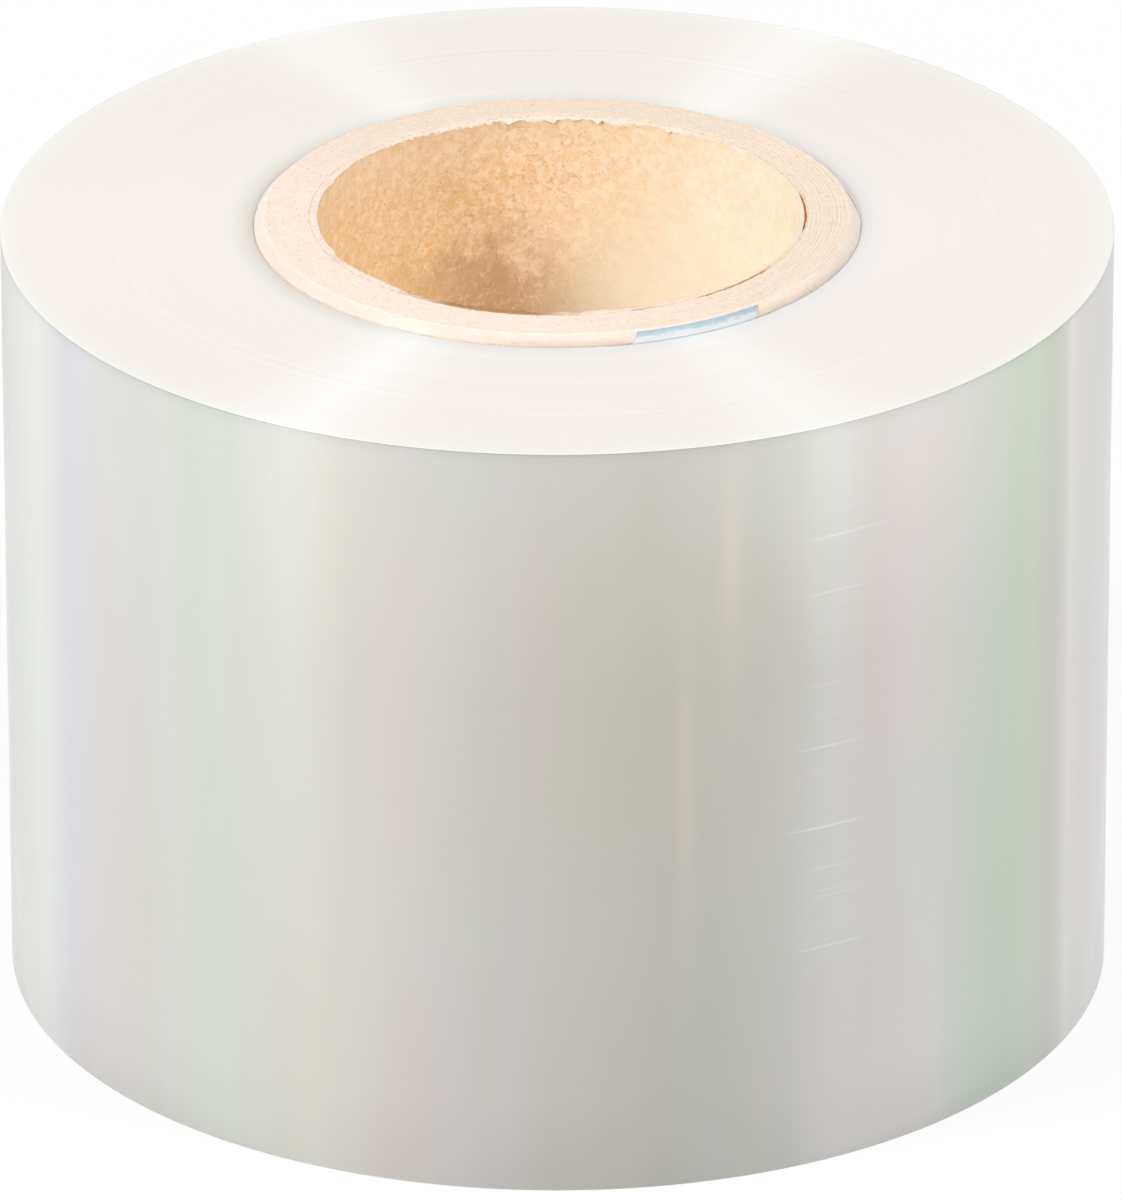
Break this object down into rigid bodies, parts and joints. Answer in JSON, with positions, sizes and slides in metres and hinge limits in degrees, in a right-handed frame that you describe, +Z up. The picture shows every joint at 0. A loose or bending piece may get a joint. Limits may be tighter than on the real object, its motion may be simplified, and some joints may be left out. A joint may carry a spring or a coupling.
{
  "type": "roll of sealing film",
  "caption": "Short wide roll of clear heat-sealing film on a thick paper core, stood on one end, with a worn core end and a scrap of blue starting tape.",
  "frame": {"origin": "middle of the roll's bottom face, on the core's axis", "axes": "+Z up along the core's axis, out of the end where the core stands proud; the visible starting tape is towards -Y and +X"},
  "size_m": [0.174, 0.174, 0.1267],
  "materials": {
    "core_paper": "matt",
    "clear_film": "gloss",
    "blue_tape": "satin"
  },
  "bodies": {
    "root": {"core": "core_paper", "film": "clear_film", "starting_tape": "blue_tape"}
  },
  "joints": []
}
